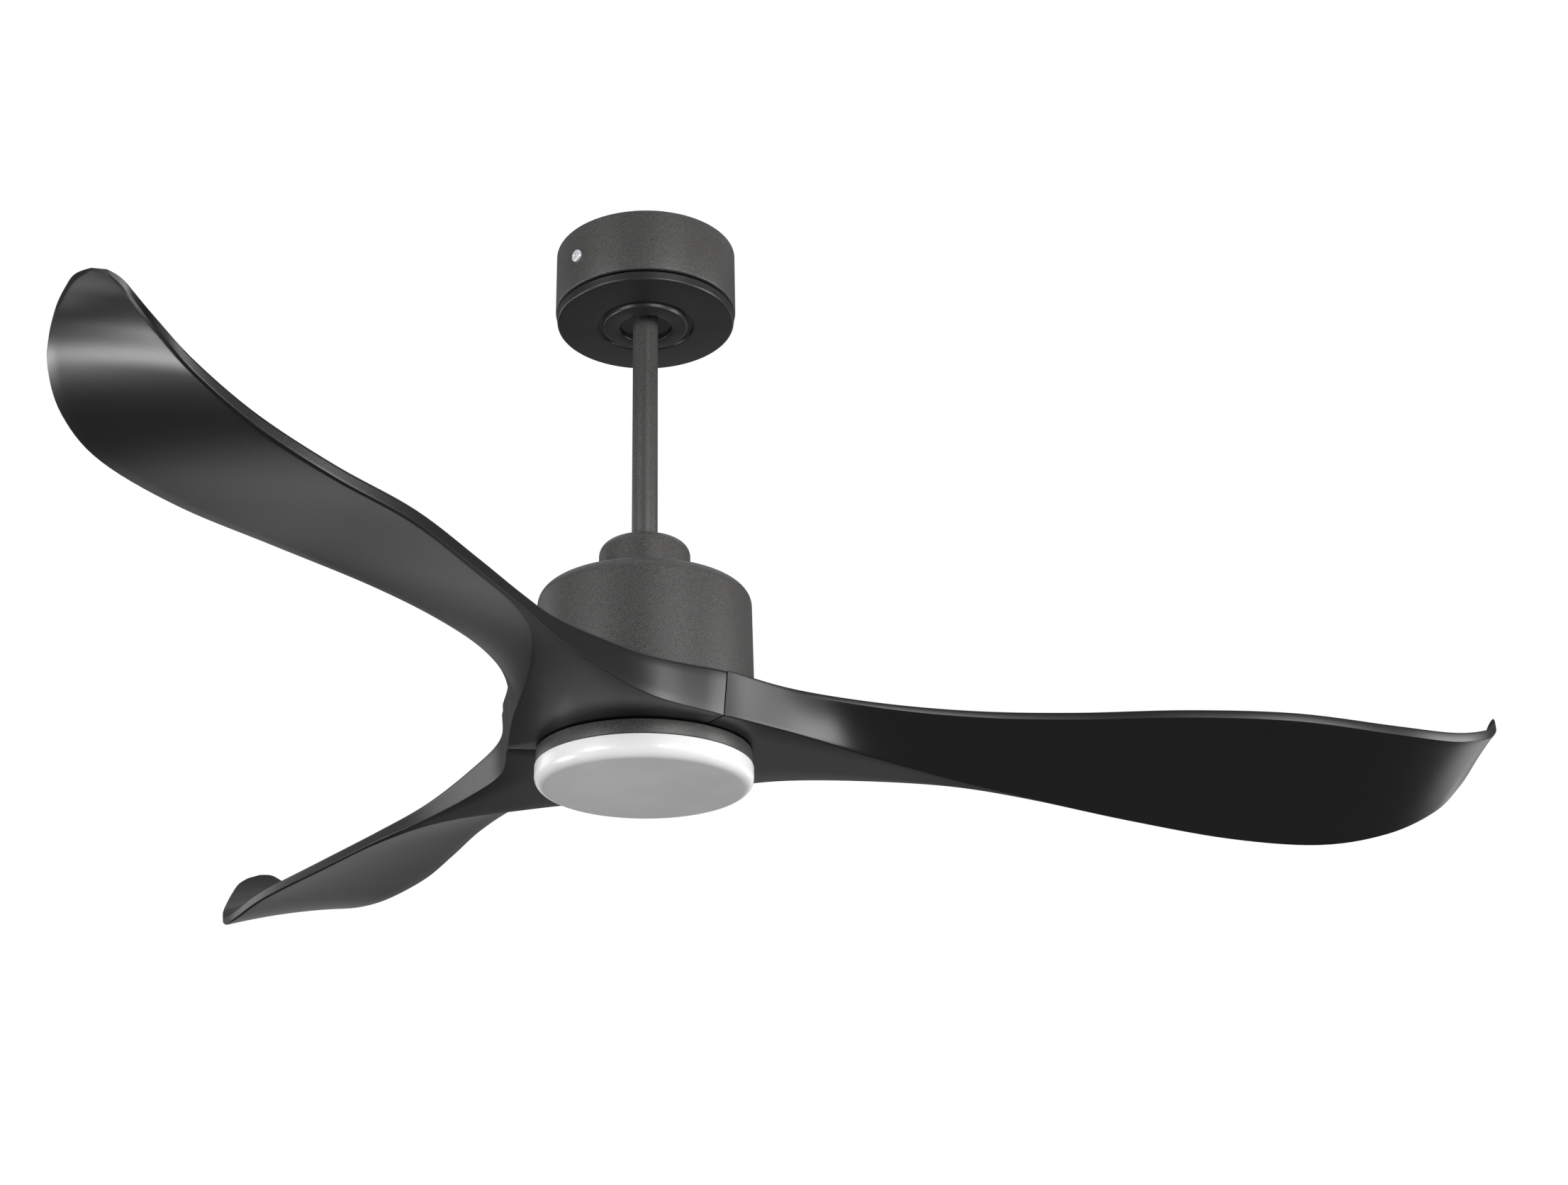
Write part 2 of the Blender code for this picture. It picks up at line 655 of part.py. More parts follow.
# ---- turning with the blades --------------------------------------------------------------------
def make_rotor():
    middles = [BLADE_TURN + math.tau * i / BLADES for i in range(BLADES)]
    hub_turns = [middle + sign * BLADE_SCREW_TURN for middle in middles for sign in (-1, 1)]
    flange_low, flange_high = HUB_Z + 0.0065, HUB_Z + 0.0105
    plate_low, plate_high = HUB_Z + 0.0345, HUB_Z + 0.0375
    bore = BEARING_OUT_R + GAP
    hub = turned(
        "rotor_hub",
        [
            (0.0630, plate_high),
            (0.0630, plate_low),
            (0.0225, plate_low),
            (0.0225, flange_high),
            (0.0745, flange_high),
            (0.0745, flange_low),
            (0.0115, flange_low),
            (0.0115, HUB_Z + 0.0115),
            (bore, HUB_Z + 0.0115),
            (bore, plate_high),
        ],
        "cast_aluminium",
        24,
    )
    for turn in hub_turns:
        spot = polar(BLADE_SCREW_R, turn, flange_low)
        drill(hub, 0.0023, spot - Vector((0, 0, 0.004)), spot + Vector((0, 0, 0.008)), 12)
    wall_low, wall_high = HUB_Z + 0.0378, HUB_Z + 0.0868
    turned(
        "rotor_bell",
        [
            (0.0210, HUB_Z + 0.0980),
            (0.0210, wall_high),
            (0.0635, wall_high),
            (0.0660, wall_high - 0.0020),
            (0.0660, wall_low),
            (0.0630, wall_low),
            (0.0630, wall_high - 0.0030),
            (0.0120, wall_high - 0.0030),
            (0.0120, HUB_Z + 0.0875),
            (bore, HUB_Z + 0.0875),
            (bore, HUB_Z + 0.0980),
        ],
        "cast_aluminium",
        24,
    )
    turned("magnet_ring", tube_profile(0.0585, 0.0627, HUB_Z + 0.0770, HUB_Z + 0.0440), "magnet", 24)
    make_bearing("lower_bearing", HUB_Z + 0.0118)
    make_bearing("upper_bearing", HUB_Z + 0.0878)


def blade_section(row, rim, camber):
    """Points round one blade section: the pitched underside, the flat bottom, the trailing wall and the top."""
    lead_top, lead_crease, trail_crease, trail_top = (Vector(p) for p in row)
    lead_foot = lead_top - Vector((0, 0, rim))
    points = []
    for i in range(7):
        u = i / 6
        points.append(lead_foot.lerp(lead_crease, u) + Vector((0, 0, 4 * camber * u * (1 - u))))
    points.append(lead_crease.lerp(trail_crease, 0.5))
    points.append(trail_crease)
    for i in range(7):
        u = i / 6
        points.append(trail_top.lerp(lead_top, u) + Vector((0, 0, 5.5 * camber * u * (1 - u))))
    return points


def blade_rows(steps):
    """The stations' rows with smooth ones between them. The two innermost rows lie on the mitred seams."""
    rails = [spline_points([row[k] for row in STATIONS[1:]], steps) for k in range(4)]
    rims = spline_points([(h, 0, 0) for h in RIM_HEIGHTS[1:]], steps)
    cambers = spline_points([(c, 0, 0) for c in CAMBERS[1:]], steps)
    rows = [blade_section(STATIONS[0], RIM_HEIGHTS[0], 0)]
    for row, rim, camber in zip(zip(*rails), rims, cambers):
        rows.append(blade_section(row, rim.x, camber.x))
    return rows


def blade_mesh(name):
    """A loft between unlike sections, built ring by ring."""
    seam_shift = 0.0005
    bm = bmesh.new()
    rings = []
    for index, row in enumerate(blade_rows(2)):
        ring = []
        for p in row:
            # the rows on the seams draw back from them, so that neighbouring blades stay apart
            y = p.y - math.copysign(seam_shift, p.y) if index < 2 else p.y
            ring.append(bm.verts.new((p.x, y, p.z + HUB_Z)))
        rings.append(ring)
    for a, b in zip(rings, rings[1:]):
        for i in range(len(a)):
            j = (i + 1) % len(a)
            bm.faces.new((a[i], a[j], b[j], b[i]))
    bm.faces.new(rings[0])
    bm.faces.new(list(reversed(rings[-1])))
    bmesh.ops.recalc_face_normals(bm, faces=bm.faces[:])
    bmesh.ops.triangulate(bm, faces=bm.faces[:])
    return mesh_from(bm, name)


def make_blades():
    floor = HUB_Z + ROOT_FLOOR
    pocket = turned_cutter(
        "blade_pocket",
        [
            (0, floor + 0.05),
            (ROOT_POCKET_R, floor + 0.05),
            (ROOT_POCKET_R, floor),
            (ROOT_HOLE_R, floor),
            (ROOT_HOLE_R, HUB_Z - 0.01),
            (0, HUB_Z - 0.01),
        ],
        64,
    )
    for i in range(BLADES):
        turn = BLADE_TURN + math.tau * i / BLADES
        blade = add(f"blade_{i + 1}", placed(blade_mesh("blade"), turn), "blade_plastic")
        boolean(blade, pocket)
        for k, sign in enumerate((-1, 1), 1):
            spot = polar(BLADE_SCREW_R, turn + sign * BLADE_SCREW_TURN, HUB_Z)
            head_bed = 0.0030
            profile = [
                (0, 0.0090),
                (0.0023, 0.0090),
                (0.0023, head_bed),
                (0.0048, head_bed),
                (0.0048, -0.0030),
                (0, -0.0030),
            ]
            bed = turned_cutter(f"blade_{i + 1}_screw_bed_{k}", profile)
            bed.location = spot
            boolean(blade, bed)
            place = spot + Vector((0, 0, head_bed - GAP))
            screw(f"blade_{i + 1}_screw_{k}", place, (0, 0, 1), 0.0043, 0.0024, 0.0019, 0.0085)


# ---- the light ----------------------------------------------------------------------------------
PAN_TOP = -0.0035
PAN_FOOT = -0.0050
RING_IN_R = 0.0776
GROOVE_R = 0.0790
GROOVE_TOP = -0.0066
GROOVE_FOOT = -0.0096


def make_light_ring():
    """The metal ring with its web. A groove inside it holds the diffuser's lugs, with a slot down for each."""
    ring = turned(
        "light_ring",
        [
            (RING_R, HUB_Z + RING_TOP),
            (RING_R, HUB_Z + RING_FOOT),
            (RING_IN_R, HUB_Z + RING_FOOT),
            (RING_IN_R, HUB_Z + GROOVE_FOOT),
            (GROOVE_R, HUB_Z + GROOVE_FOOT),
            (GROOVE_R, HUB_Z + GROOVE_TOP),
            (RING_IN_R, HUB_Z + GROOVE_TOP),
            (RING_IN_R, HUB_Z + PAN_FOOT),
            (SHAFT_R + GAP, HUB_Z + PAN_FOOT),
            (SHAFT_R + GAP, HUB_Z + PAN_TOP),
            (RING_IN_R, HUB_Z + PAN_TOP),
            (RING_IN_R, HUB_Z + RING_TOP),
        ],
        "textured_paint",
        40,
    )
    for i in range(3):
        slot = box_mesh(
            "slot",
            (RING_IN_R - 0.0030, -0.0066, HUB_Z + RING_FOOT - 0.0020),
            (GROOVE_R - 0.0003, 0.0066, HUB_Z + GROOVE_FOOT + 0.0010),
            math.tau * i / 3 + LUG_TURN,
        )
        boolean(ring, add_cutter(f"lug_slot_{i}", slot))
    hexagon = circle(0.0130, 6)
    outline_plate(
        "ring_nut",
        [hexagon, circle(SHAFT_R + GAP, 24)],
        HUB_Z - 0.0095,
        HUB_Z + PAN_FOOT - GAP,
        "zinc_steel",
    )


def make_light_electrics():
    board_top = HUB_Z - 0.0160
    board_foot = HUB_Z - 0.0175
    board = turned("led_board", tube_profile(0.0110, 0.0700, board_top, board_foot), "white_board", 24)
    driver = add(
        "led_driver",
        box_mesh("driver", (-0.0250, 0.0242, HUB_Z - 0.0118), (0.0250, 0.0510, HUB_Z + PAN_FOOT - GAP)),
        "black_plastic",
    )
    bevel(driver, 0.0010)
    for i, turn in enumerate((0.0, math.pi), 1):
        place = polar(0.0600, turn, board_foot - GAP)
        drill(board, 0.0019, place - Vector((0, 0, 0.004)), place + Vector((0, 0, 0.006)), 12)
        screw(f"led_screw_{i}", place, (0, 0, 1), 0.0032, 0.0018, 0.0015, 0.0120)


def make_diffuser():
    """The opal cover: a rounded dish with a neck that goes up into the ring and three bayonet lugs."""
    rim = HUB_Z + RING_FOOT - GAP
    neck_top = HUB_Z - 0.0060
    neck_r = RING_IN_R - 0.0006
    neck_in = neck_r - 0.0020
    foot = HUB_Z + DIFFUSER_FOOT
    corner = 0.0085
    wall = 0.0020
    r = DIFFUSER_R
    dish = turned(
        "light_diffuser",
        [
            (0, foot + wall),
            *arc(r - corner, foot + corner, corner - wall, -90, 0, 3),
            (r - wall, rim - 0.0030),
            (neck_in, rim - 0.0018),
            (neck_in, neck_top),
            (neck_r, neck_top),
            (neck_r, rim - 0.0002),
            (r - 0.0006, rim - 0.0002),
            (r, rim - 0.0010),
            *arc(r - corner, foot + corner, corner, 0, -90, 5),
            (0, foot),
        ],
        "opal_plastic",
        40,
    )
    for i in range(3):
        lug = box_mesh(
            "lug",
            (neck_r - 0.0010, -0.0050, HUB_Z + GROOVE_FOOT + 0.0004),
            (GROOVE_R - 0.0005, 0.0050, HUB_Z + GROOVE_TOP - 0.0004),
            math.tau * i / 3,
        )
        boolean(dish, add_cutter(f"lug_{i}", lug), "UNION")


def make_leads():
    """The lead from the light up through the shaft and the rod, and its plug above the ball."""
    bottom = HUB_Z - 0.0100  # the shaft's lower end
    run = [
        (0, 0.0225, bottom + 0.0012),
        (0, 0.0185, bottom - 0.0008),
        (0, 0.0100, bottom - 0.0032),
        (0, 0.0034, bottom - 0.0024),
        (0, 0.0004, bottom + 0.0030),
        (0, 0, bottom + 0.0120),
        (0, 0, HUB_Z + 0.0700),
        (0, 0.0020, HUB_Z + HOUSING_TOP - 0.0050),
        (0, 0.0052, YOKE_PIN_Z - 0.0040),
        (0, 0.0052, YOKE_PIN_Z + 0.0060),
        (0, 0.0052, -0.2000),
        (0, 0.0052, -0.0700),
    ]
    wire("motor_lead", run, 0.0018, "cable_sheath")


make_bracket()
make_ceiling_screws()
make_canopy()
make_canopy_trim()
make_ceiling_electrics()
make_socket_liner()
make_ball()
make_downrod()
make_yoke_pin()
make_coupling_cover()
make_housing()
make_stator()
make_rotor()
make_blades()
make_light_ring()
make_light_electrics()
make_diffuser()
make_leads()


# ---- pivots: an empty on each joint's axis carries the pieces that move about it ---------------------
def pivot(name, height, *starts):
    """An empty on the fan's axis, with every piece whose name starts in one of the given ways on it."""
    empty = bpy.data.objects.new(name, None)
    empty.empty_display_size = 0.05
    empty.location.z = height
    parts.objects.link(empty)
    for obj in list(parts.objects):
        if obj.type != "EMPTY" and obj.name.startswith(starts):
            obj.parent = empty
            obj.matrix_parent_inverse = Matrix.Translation((0, 0, -height))


pivot("socket_pivot", BALL_Z, "ball_socket_liner")
pivot(
    "swing_pivot",
    BALL_Z,
    *("hanger_ball", "ball_cross_pin", "ball_set_screw", "downrod", "rod_yoke", "yoke_", "coupling_cover"),
    *("motor_", "housing_screw", "stator_", "upper_winding", "lower_winding", "light_ring", "ring_nut", "led_"),
    *("upper_bearing_inner", "lower_bearing_inner"),
)
pivot(
    "spin_pivot",
    HUB_Z,
    *("rotor_", "magnet_ring", "blade_", "upper_bearing_outer", "lower_bearing_outer"),
    *("upper_bearing_ball", "lower_bearing_ball"),
)
pivot("twist_pivot", HUB_Z, "light_diffuser")
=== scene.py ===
"""Ceiling fan with a round light, seen from below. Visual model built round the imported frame.

Metres, +Z up, the frame's own axes: the origin is on the ceiling face on the fan's upright axis.
"""

import json
import math

import bmesh
import bpy
from mathutils import Matrix, Vector


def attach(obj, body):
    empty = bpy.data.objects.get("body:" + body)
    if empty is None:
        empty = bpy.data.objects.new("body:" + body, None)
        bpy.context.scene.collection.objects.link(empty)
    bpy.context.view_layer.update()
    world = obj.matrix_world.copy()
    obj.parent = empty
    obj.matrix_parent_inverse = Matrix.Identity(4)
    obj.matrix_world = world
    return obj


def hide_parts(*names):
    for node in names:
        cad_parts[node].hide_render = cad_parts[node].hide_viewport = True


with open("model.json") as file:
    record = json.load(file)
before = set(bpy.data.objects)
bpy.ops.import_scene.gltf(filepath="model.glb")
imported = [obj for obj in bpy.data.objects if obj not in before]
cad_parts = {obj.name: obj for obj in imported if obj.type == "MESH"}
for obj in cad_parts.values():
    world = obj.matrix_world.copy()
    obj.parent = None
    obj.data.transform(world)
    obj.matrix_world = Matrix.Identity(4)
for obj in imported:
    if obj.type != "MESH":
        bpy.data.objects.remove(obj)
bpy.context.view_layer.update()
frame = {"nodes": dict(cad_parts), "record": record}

scene = bpy.context.scene

# ---- dimensions ---------------------------------------------------------------------------------
HUB_Z = -0.4275  # flat bottom of the blade roots
GAP = 0.0003
CANOPY_R = 0.0730
CANOPY_SHELL_H = 0.0537
CANOPY_H = 0.0633
CANOPY_BOSS_H = 0.0657
CANOPY_HOLE_R = 0.0211
SIDE_SCREW_TURNS = (math.radians(225), math.radians(225) + math.pi)
SIDE_SCREW_Z = -0.0278
SIDE_HOLE_R = 0.0024
BALL_Z = -0.0270
ROD_R = 0.0101
ROD_BORE_R = 0.0079
ROD_TOP_Z = -0.0120
COVER_R = 0.0353
COVER_TOP = 0.1685
HOUSING_TOP_R = 0.0820
HOUSING_FOOT_R = 0.0828
HOUSING_TOP = 0.1265
HOUSING_FOOT = 0.0362
SHAFT_R = 0.0085
ROOT_FLOOR = 0.0062
ROOT_POCKET_R = 0.0780
ROOT_HOLE_R = 0.0300
BLADE_SCREW_R = 0.0620
BLADE_SCREW_TURN = math.radians(28)
RING_R = 0.0805
RING_TOP = -0.0010
RING_FOOT = -0.0115
RING_IN_R = 0.0776
GROOVE_R = 0.0790
GROOVE_TOP = -0.0066
GROOVE_FOOT = -0.0096
PAN_TOP = -0.0035
PAN_FOOT = -0.0050
DIFFUSER_R = 0.0813
DIFFUSER_FOOT = -0.0285
LUGS = 3
LUG_WIDTH = 0.0100
SLOT_WIDTH = 0.0132
LUG_TWIST = math.radians(20)  # from a lug's locked place to its slot
BLADES = 3
FLOOR_Z = -4.50
FLOOR_REACH = 400

# blade sections from root to tip, with heights above the flat bottom of the roots. The four corners
# of a section are leading top, leading crease, trailing crease and trailing top.
STATIONS = (
    ((0.02, -0.0346, 0.0325), (0.02, -0.0346, 0), (0.02, 0.0346, 0), (0.02, 0.0346, 0.0325)),
    ((0.0533, -0.0923, 0.0325), (0.051, -0.0883, 0), (0.051, 0.0883, 0), (0.0533, 0.0923, 0.0325)),
    ((0.107, -0.057, 0.0326), (0.107, -0.052, 0), (0.107, 0.061, 0), (0.108, 0.0625, 0.029)),
    ((0.175, -0.037, 0.0312), (0.17, -0.005, -0.0005), (0.17, 0.0535, -0.0005), (0.171, 0.0545, 0.0215)),
    ((0.245, -0.032, 0.029), (0.24, 0.039, -0.002), (0.24, 0.055, -0.0025), (0.241, 0.056, 0.0105)),
    ((0.315, -0.0385, 0.0275), (0.305, 0.063, -0.008), (0.3045, 0.0665, -0.0075), (0.305, 0.0675, 0.0005)),
    ((0.395, -0.055, 0.026), (0.385, 0.08, -0.018), (0.385, 0.0825, -0.0175), (0.385, 0.0835, -0.0105)),
    ((0.47, -0.0655, 0.022), (0.47, 0.0935, -0.027), (0.47, 0.0955, -0.0265), (0.47, 0.0962, -0.0195)),
    ((0.545, -0.0595, 0.0165), (0.54, 0.0905, -0.031), (0.54, 0.0925, -0.0305), (0.54, 0.0932, -0.024)),
    ((0.595, -0.044, 0.018), (0.59, 0.079, -0.024), (0.5905, 0.0808, -0.023), (0.591, 0.0812, -0.0165)),
    ((0.628, -0.026, 0.027), (0.624, 0.067, -0.009), (0.625, 0.0683, -0.0078), (0.626, 0.0685, -0.0015)),
    ((0.644, -0.01, 0.038), (0.641, 0.056, 0.008), (0.642, 0.057, 0.0095), (0.6435, 0.057, 0.0155)),
    ((0.6515, 0.004, 0.047), (0.651, 0.046, 0.024), (0.652, 0.0465, 0.026), (0.6535, 0.0465, 0.031)),
    ((0.6545, 0.014, 0.052), (0.6555, 0.038, 0.037), (0.6563, 0.0383, 0.0385), (0.657, 0.0383, 0.042)),
)
# height of the leading rim and bow of the underside, one value for each section
RIM_HEIGHTS = (
    0.0010, 0.0010, 0.0025, 0.0045, 0.0055, 0.0060, 0.0064,
    0.0068, 0.0072, 0.0074, 0.0074, 0.0072, 0.0060, 0.0035,
)
CAMBERS = (0, 0, 0, 0.0010, 0.0020, 0.0030, 0.0035, 0.0040, 0.0040, 0.0030, 0.0020, 0.0010, 0, 0)
BLADE_TURN = math.radians(6.6)  # azimuth of the first blade's own x axis at rest
SEAM_SHIFT = 0.0009  # how far each root stands back from a seam
TIP_DRAW = 0.5  # how much the last section shrinks towards its middle

CORNER_STEPS = 3
CORNER_SHARE = 0.45  # the most of a side that the rounding of its corner takes


# ---- procedural materials -----------------------------------------------------------------------
GRAIN_DEPTH = 0.0001
DRIFT_SCALE = 18.0


def nodes_of(name):
    material = bpy.data.materials.new(name)
    material.use_nodes = True
    tree = material.node_tree
    return material, tree, tree.nodes["Principled BSDF"]


def noise(tree, scale, detail=2.0, stretch=(1, 1, 1), roughness=0.5):
    """A noise texture in the object's own coordinates."""
    place = tree.nodes.new("ShaderNodeTexCoord")
    mapping = tree.nodes.new("ShaderNodeMapping")
    mapping.inputs["Scale"].default_value = stretch
    texture = tree.nodes.new("ShaderNodeTexNoise")
    texture.inputs["Scale"].default_value = scale
    texture.inputs["Detail"].default_value = detail
    texture.inputs["Roughness"].default_value = roughness
    tree.links.new(place.outputs["Object"], mapping.inputs["Vector"])
    tree.links.new(mapping.outputs["Vector"], texture.inputs["Vector"])
    return texture.outputs["Fac"]


def ramp(tree, value, stops):
    """A colour ramp from the value. Each stop is (position, colour)."""
    node = tree.nodes.new("ShaderNodeValToRGB")
    elements = node.color_ramp.elements
    while len(elements) < len(stops):
        elements.new(0.5)
    for element, (position, colour) in zip(elements, stops):
        element.position = position
        element.color = (*colour, 1)
    tree.links.new(value, node.inputs["Fac"])
    return node.outputs["Color"]


def span(tree, value, low, high):
    """The noise's main range, 0.3 to 0.7, carried over to low..high."""
    node = tree.nodes.new("ShaderNodeMapRange")
    for key, number in (("From Min", 0.3), ("From Max", 0.7), ("To Min", low), ("To Max", high)):
        node.inputs[key].default_value = number
    tree.links.new(value, node.inputs["Value"])
    return node.outputs["Result"]


def multiplied(tree, a, b):
    node = tree.nodes.new("ShaderNodeMix")
    node.data_type = "RGBA"
    node.blend_type = "MULTIPLY"
    node.inputs["Factor"].default_value = 1.0
    tree.links.new(a, node.inputs["A"])
    tree.links.new(b, node.inputs["B"])
    return node.outputs["Result"]


def bumped(tree, shader, height, strength):
    node = tree.nodes.new("ShaderNodeBump")
    node.inputs["Strength"].default_value = strength
    node.inputs["Distance"].default_value = GRAIN_DEPTH
    tree.links.new(height, node.inputs["Height"])
    tree.links.new(node.outputs["Normal"], shader.inputs["Normal"])


def scaled(colour, factor):
    return tuple(min(1.0, c * factor) for c in colour)


def grained(name, colour, rough, metallic, scale, spread, bump, stretch=(1, 1, 1)):
    """A finish with fine grain in its colour, roughness and relief, and a slow drift of tone."""
    material, tree, shader = nodes_of(name)
    shader.inputs["Metallic"].default_value = metallic
    fine = noise(tree, scale, 3.0, stretch, 0.6)
    slow = noise(tree, DRIFT_SCALE)
    grain = ramp(tree, fine, [(0.32, scaled(colour, 1 - spread)), (0.68, scaled(colour, 1 + spread))])
    drift = ramp(tree, slow, [(0.3, (0.90, 0.90, 0.90)), (0.7, (1.0, 1.0, 1.0))])
    tree.links.new(multiplied(tree, grain, drift), shader.inputs["Base Color"])
    tree.links.new(span(tree, fine, rough * 0.88, rough * 1.12), shader.inputs["Roughness"])
    bumped(tree, shader, fine, bump)
    return material


# colour, roughness, metallic, scale of the grain, spread of its tone, its relief and its stretch
FINISHES = {
    "textured_paint": ((0.078, 0.076, 0.074), 0.44, 0.30, 1400, 0.60, 0.35),
    # trim_paint: the canopy's lower cover, much darker than the canopy's own paint as painted shade on its
    # downward-facing disc
    "trim_paint": ((0.020, 0.020, 0.0205), 0.36, 0.10, 1100, 0.25, 0.12),
    "blade_plastic": ((0.006, 0.006, 0.0062), 0.35, 0.0, 2200, 0.15, 0.06),
    "opal_plastic": ((0.92, 0.92, 0.92), 0.22, 0.0, 900, 0.01, 0.01),
    "zinc_steel": ((0.60, 0.61, 0.60), 0.34, 1.0, 900, 0.10, 0.10),
    "bright_steel": ((0.88, 0.89, 0.92), 0.38, 0.5, 700, 0.05, 0.04),
    "cast_aluminium": ((0.55, 0.56, 0.57), 0.45, 1.0, 1100, 0.16, 0.40),
    "lamination_steel": ((0.30, 0.31, 0.33), 0.45, 0.9, 400, 0.25, 0.5, (1, 1, 12)),
    "copper_wire": ((0.62, 0.27, 0.12), 0.32, 0.9, 300, 0.25, 0.8, (1, 1, 10)),
    "magnet": ((0.09, 0.09, 0.10), 0.60, 0.3, 900, 0.25, 0.3),
    "nylon": ((0.78, 0.77, 0.72), 0.45, 0.0, 500, 0.04, 0.10),
    "black_plastic": ((0.025, 0.025, 0.025), 0.50, 0.0, 1500, 0.30, 0.25),
    "white_board": ((0.82, 0.83, 0.81), 0.40, 0.0, 400, 0.04, 0.06),
    "cable_sheath": ((0.050, 0.050, 0.050), 0.55, 0.0, 1200, 0.20, 0.15),
}
LOOKS = {name: grained(name, *numbers) for name, numbers in FINISHES.items()}


# ---- making and placing pieces ------------------------------------------------------------------
pieces = bpy.data.collections.new("visual_pieces")
scene.collection.children.link(pieces)


def new_piece(name, mesh, slot, body, *nodes, angle=32):
    """A visual piece in its finish, riding on a body in place of the CAD nodes."""
    obj = bpy.data.objects.new(name, mesh)
    pieces.objects.link(obj)
    mesh.materials.clear()
    mesh.materials.append(LOOKS[slot])
    mesh.shade_smooth()
    mesh.set_sharp_from_angle(angle=math.radians(angle))
    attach(obj, body)
    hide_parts(*nodes)


def mesh_from(bm, name):
    bmesh.ops.recalc_face_normals(bm, faces=bm.faces[:])
    mesh = bpy.data.meshes.new(name)
    bm.to_mesh(mesh)
    bm.free()
    return mesh


def arc(r, z, radius, start, end, steps):
    """Points on a round corner in the (radius, height) plane, with angles in degrees from +r."""
    turns = [math.radians(start + (end - start) * i / steps) for i in range(steps + 1)]
    return [(r + radius * math.cos(t), z + radius * math.sin(t)) for t in turns]


def corner_curve(start, corner, end):
    """Points from start to end on a curve that leans towards the corner."""
    parts = [k / CORNER_STEPS for k in range(CORNER_STEPS + 1)]
    return [start * (1 - t) ** 2 + 2 * corner * t * (1 - t) + end * t * t for t in parts]


def softened(points, radius, closed=True):
    """The outline with each corner rounded by up to the radius."""
    out = []
    n = len(points)
    for i, p in enumerate(points):
        p = Vector(p)
        a, b = Vector(points[i - 1]), Vector(points[(i + 1) % n])
        if not closed and i in (0, n - 1):
            out.append(tuple(p))
            continue
        to_a, to_b = a - p, b - p
        cut = min(radius, CORNER_SHARE * to_a.length, CORNER_SHARE * to_b.length)
        start, end = p + to_a.normalized() * cut, p + to_b.normalized() * cut
        out += [tuple(q) for q in corner_curve(start, p, end)]
    return out


def turned_mesh(name, profile, steps=128):
    """The (r, z) outline turned round Z. It closes on itself unless both its ends are on the axis."""
    bm = bmesh.new()
    ring = [bm.verts.new((r, 0, z)) for r, z in profile]
    if profile[0][0] > 0 or profile[-1][0] > 0:
        ring.append(ring[0])
    edges = [bm.edges.new((a, b)) for a, b in zip(ring, ring[1:])]
    bmesh.ops.spin(
        bm,
        geom=bm.verts[:] + edges,
        cent=(0, 0, 0),
        axis=(0, 0, 1),
        angle=math.tau,
        steps=steps,
        use_merge=True,
    )
    bmesh.ops.remove_doubles(bm, verts=bm.verts[:], dist=1e-6)
    return mesh_from(bm, name)


def cylinder_mesh(radius, start, end, steps=48):
    start, end = Vector(start), Vector(end)
    bm = bmesh.new()
    bmesh.ops.create_cone(
        bm, cap_ends=True, segments=steps, radius1=radius, radius2=radius, depth=(end - start).length
    )
    turn = Vector((0, 0, 1)).rotation_difference(end - start).to_matrix().to_4x4()
    bm.transform(Matrix.Translation((start + end) / 2) @ turn)
    return mesh_from(bm, "cylinder")


def cut_by(mesh, cutters, operation="DIFFERENCE"):
    """The mesh with the cutters taken away or, as a UNION, joined to it."""
    obj = bpy.data.objects.new("cut", mesh)
    scene.collection.objects.link(obj)
    tools = []
    for cutter in cutters:
        tool = bpy.data.objects.new("cutter", cutter)
        scene.collection.objects.link(tool)
        tools.append(tool)
        modifier = obj.modifiers.new("cut", "BOOLEAN")
        modifier.object = tool
        modifier.operation = operation
        modifier.solver = "EXACT"
    bpy.context.view_layer.update()
    result = bpy.data.meshes.new_from_object(obj.evaluated_get(bpy.context.evaluated_depsgraph_get()))
    for old in (obj, *tools):
        bpy.data.objects.remove(old)
    return result


def polar(radius, turn, z=0.0):
    return Vector((radius * math.cos(turn), radius * math.sin(turn), z))


# ---- held by the ceiling ------------------------------------------------------------------------
def make_canopy():
    wall, edge = 0.0013, 0.0012
    foot = -CANOPY_SHELL_H
    r = CANOPY_R
    outline = [
        (r - 0.0004, -GAP),
        (r, -GAP - 0.0004),
        (r, foot + 0.0010),
        *arc(r - edge, foot + edge, edge, 0, -90, 4)[1:],
        (r - wall - edge, foot),
        (r - wall - edge, foot + 0.0020),
        (r - wall, foot + 0.0035),
        (r - wall, -GAP),
    ]
    holes = []
    for turn in SIDE_SCREW_TURNS:
        inside = polar(r - 0.008, turn, SIDE_SCREW_Z)
        outside = polar(r + 0.006, turn, SIDE_SCREW_Z)
        holes.append(cylinder_mesh(SIDE_HOLE_R, inside, outside))
    mesh = cut_by(turned_mesh("canopy_shell_fine", outline), holes)
    new_piece("canopy_shell_fine", mesh, "textured_paint", "ceiling_mount", "canopy_shell")


